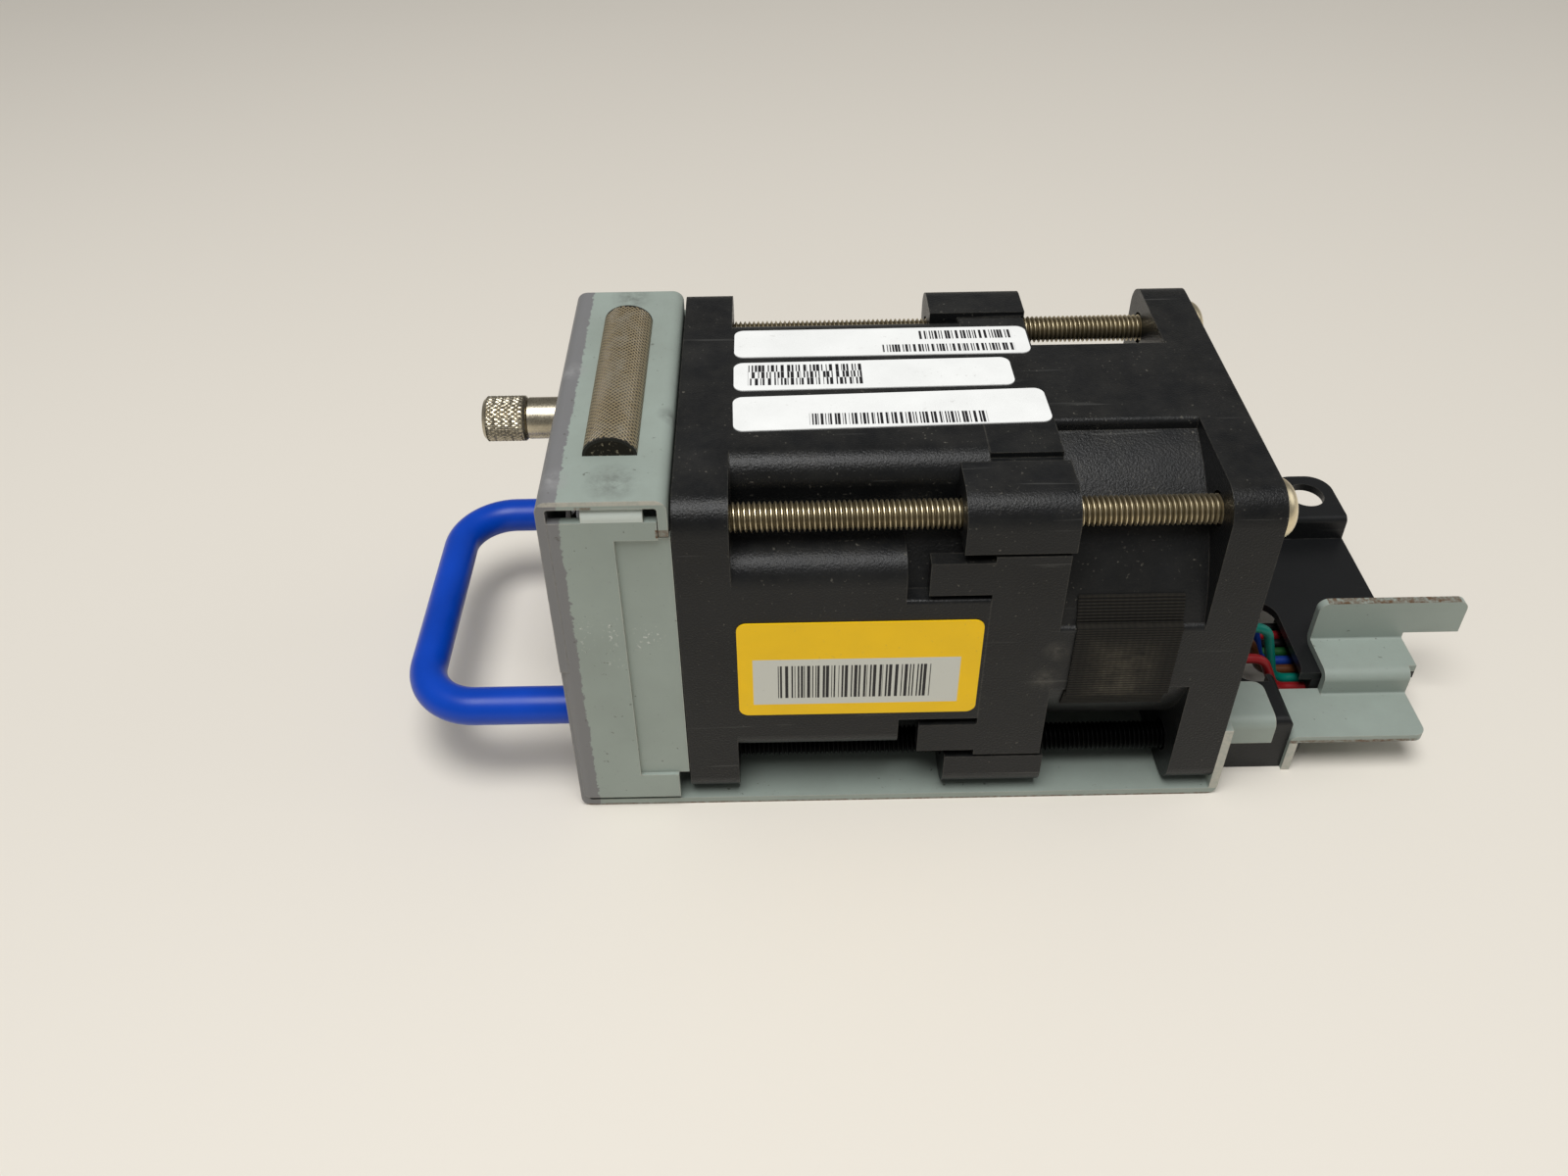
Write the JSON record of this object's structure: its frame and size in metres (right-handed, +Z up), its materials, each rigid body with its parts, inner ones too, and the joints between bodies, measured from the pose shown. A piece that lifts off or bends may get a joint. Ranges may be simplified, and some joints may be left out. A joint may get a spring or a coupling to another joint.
{
  "type": "switch fan tray",
  "caption": "Pull-out cooling module: a counter-rotating axial fan pair on a bent sheet tray with a vented front box, bar grip, captive thumb screw, gasket and rear plug bracket",
  "frame": {"origin": "centre of the tray floor's underside below the middle of the fan block", "axes": "X along the fan axis, from the front face and grip towards the plug; Y across the tray; Z up from the floor"},
  "size_m": [0.1175, 0.0415, 0.0449],
  "materials": {
    "tray_paint": "satin grey-green coating over sheet steel, darker grey on the front face",
    "black_paint": "semi-gloss black paint",
    "grip_blue": "satin blue coating",
    "nickel": "nickel plate, slightly brassy",
    "black_oxide": "black oxide",
    "mesh_sock": "knitted metal mesh",
    "foam": "open foam",
    "fan_plastic": "satin black moulding, dusty",
    "blade_plastic": "satin black moulding",
    "rotor_steel": "bright steel",
    "core_steel": "laminated steel",
    "magnet": "bonded ferrite",
    "copper": "enamelled winding",
    "board": "solder mask",
    "plug_plastic": "moulded nylon",
    "contact": "plated contacts",
    "wire_red": "insulation",
    "wire_black": "insulation",
    "wire_teal": "insulation",
    "wire_blue": "insulation",
    "wire_brown": "insulation",
    "wire_green": "insulation",
    "label_white": "white sticker",
    "label_yellow": "yellow sticker",
    "tape": "woven cloth tape"
  },
  "bodies": {
    "tray": {"cable_bracket": "black_paint", "cloth_tape": "tape", "front_bearings": "rotor_steel", "front_board": "board", "front_coils": "copper", "front_core": "core_steel", "front_frame": "fan_plastic", "gasket_foam": "foam", "gasket_mesh": "mesh_sock", "grip_bar": "grip_blue", "grip_screws": "nickel", "label_far": "label_white", "label_mid": "label_white", "label_near": "label_white", "label_side": "label_yellow", "lower_bolts": "black_oxide", "plug_contacts": "contact", "plug_housing": "plug_plastic", "rear_bearings": "rotor_steel", "rear_board": "board", "rear_coils": "copper", "rear_core": "core_steel", "rear_frame": "fan_plastic", "tail_bracket": "tray_paint", "tail_rivet": "black_paint", "thumb_ferrule": "nickel", "tray_shell": "tray_paint", "upper_bolts": "nickel", "wire_black": "wire_black", "wire_blue": "wire_blue", "wire_brown": "wire_brown", "wire_green": "wire_green", "wire_red": "wire_red", "wire_teal": "wire_teal"},
    "front_rotor": {"front_clip": "rotor_steel", "front_impeller": "blade_plastic", "front_magnet": "magnet", "front_shaft": "rotor_steel", "front_yoke": "rotor_steel"},
    "rear_rotor": {"rear_clip": "rotor_steel", "rear_impeller": "blade_plastic", "rear_magnet": "magnet", "rear_shaft": "rotor_steel", "rear_yoke": "rotor_steel"},
    "thumb_slide": {"thumb_ring": "nickel"},
    "thumb_screw": {"thumb_knob": "nickel"}
  },
  "joints": [
    {"name": "front_spin", "type": "hinge", "parent": "tray", "child": "front_rotor", "pos_m": [0, 0, 0.0212], "axis": [1, 0, 0], "continuous": true},
    {"name": "rear_spin", "type": "hinge", "parent": "tray", "child": "rear_rotor", "pos_m": [0, 0, 0.0212], "axis": [1, 0, 0], "continuous": true},
    {"name": "thumb_pull", "type": "slide", "parent": "tray", "child": "thumb_slide", "axis": [-1, 0, 0], "range_m": [0, 0.003]},
    {"name": "thumb_turn", "type": "hinge", "parent": "thumb_slide", "child": "thumb_screw", "pos_m": [-0.045, 0, 0.0376], "axis": [1, 0, 0], "continuous": true}
  ]
}
